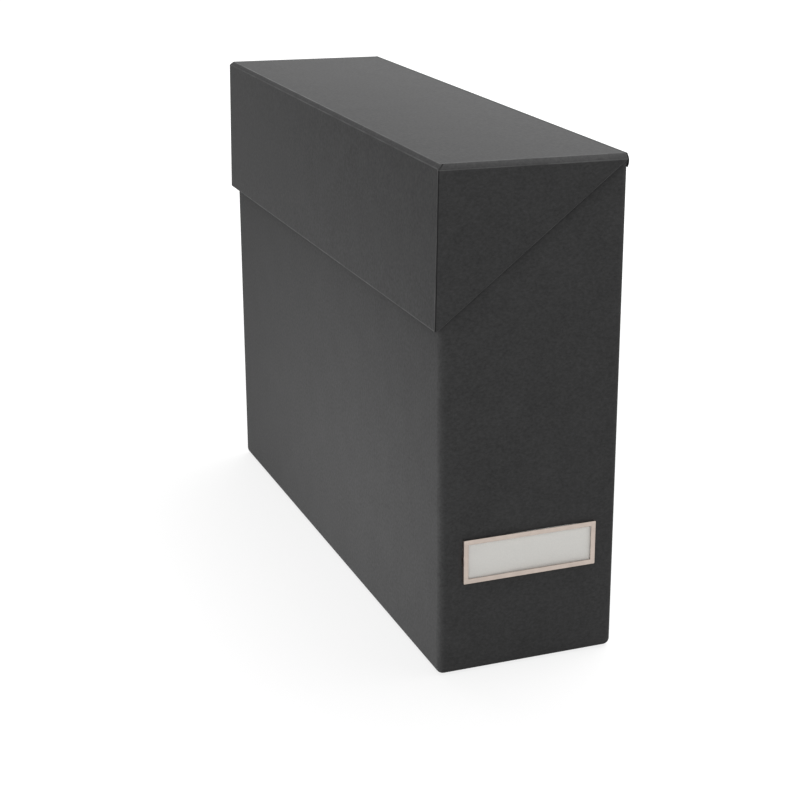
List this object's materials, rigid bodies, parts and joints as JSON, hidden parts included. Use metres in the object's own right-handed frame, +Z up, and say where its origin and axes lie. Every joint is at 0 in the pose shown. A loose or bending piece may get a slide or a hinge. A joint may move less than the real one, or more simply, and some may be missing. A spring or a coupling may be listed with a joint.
{
  "type": "box file",
  "caption": "Upright paper-covered board box file with a deep flip-top lid, sloping lid ends and a metal label frame on one end.",
  "frame": {"origin": "centre of the box's underside, on the surface that it stands on", "axes": "+Z up, +Y along the length away from the label end, +X across the width towards the hinged side"},
  "size_m": [0.0958, 0.3321, 0.2468],
  "materials": {
    "charcoal_paper_board": "matt, fine linen grain",
    "satin_nickel": "satin nickel plate",
    "white_card": "matt uncoated card"
  },
  "bodies": {
    "box_body": {"box": "charcoal_paper_board", "label_frame": "satin_nickel", "label_card": "white_card"},
    "lid_body": {"lid": "charcoal_paper_board"}
  },
  "joints": [
    {"name": "lid_hinge", "type": "hinge", "parent": "box_body", "child": "lid_body", "pos_m": [0.0458, 0, 0.2434], "axis": [0, 1, 0], "range_deg": [0, 178]}
  ]
}
